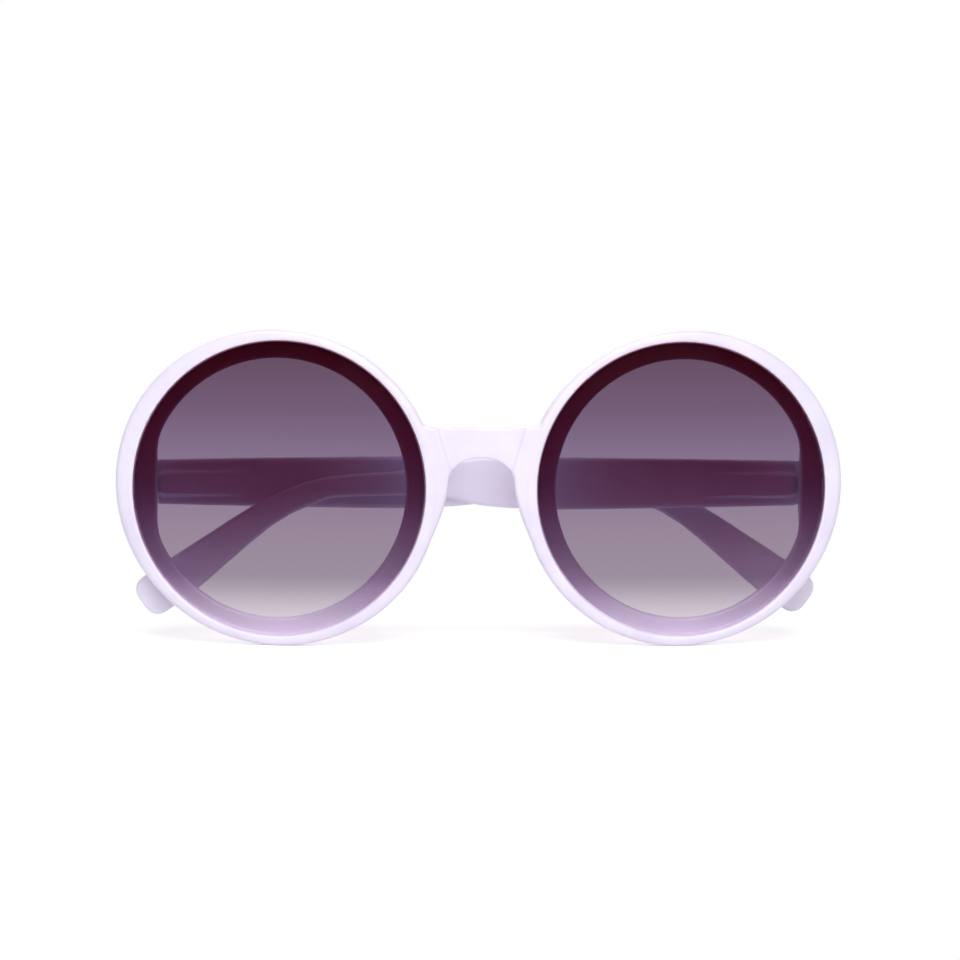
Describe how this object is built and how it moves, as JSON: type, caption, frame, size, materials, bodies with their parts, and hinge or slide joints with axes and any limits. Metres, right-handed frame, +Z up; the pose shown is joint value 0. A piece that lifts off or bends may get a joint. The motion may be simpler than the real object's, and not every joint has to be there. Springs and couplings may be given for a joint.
{
  "type": "round sunglasses",
  "caption": "Round sunglasses with tinted disc lenses laid into the front of slim moulded rims, a low set-back bridge and folding arms with drop tips.",
  "frame": {"origin": "under the middle of the folded sunglasses, level with the lowest point of the rims", "axes": "+X towards the wearer's left, +Y from the front towards the wearer, +Z up"},
  "size_m": [0.1446, 0.0232, 0.0627],
  "materials": {
    "lilac_plastic": "pale lilac moulded plastic with a soft satin gloss",
    "tinted_lens": "polished plastic lens with a plum tint, darker at the top and light at the bottom",
    "hinge_steel": "plain small hinge parts and slotted screws"
  },
  "bodies": {
    "front": {"front_frame": "lilac_plastic", "lens_left": "tinted_lens", "lens_right": "tinted_lens", "front_leaf_left": "hinge_steel", "front_leaf_right": "hinge_steel", "hinge_screw_left": "hinge_steel", "hinge_screw_right": "hinge_steel"},
    "left_arm": {"arm_left": "lilac_plastic", "arm_leaf_left": "hinge_steel"},
    "right_arm": {"arm_right": "lilac_plastic", "arm_leaf_right": "hinge_steel"}
  },
  "joints": [
    {"name": "left_arm_hinge", "type": "hinge", "parent": "front", "child": "left_arm", "pos_m": [0.0662, 0.00459, 0.03119], "axis": [0, 0, -1], "range_deg": [0, 96.4]},
    {"name": "right_arm_hinge", "type": "hinge", "parent": "front", "child": "right_arm", "pos_m": [-0.0662, 0.00459, 0.03119], "axis": [0, 0, 1], "range_deg": [0, 93.5]}
  ]
}
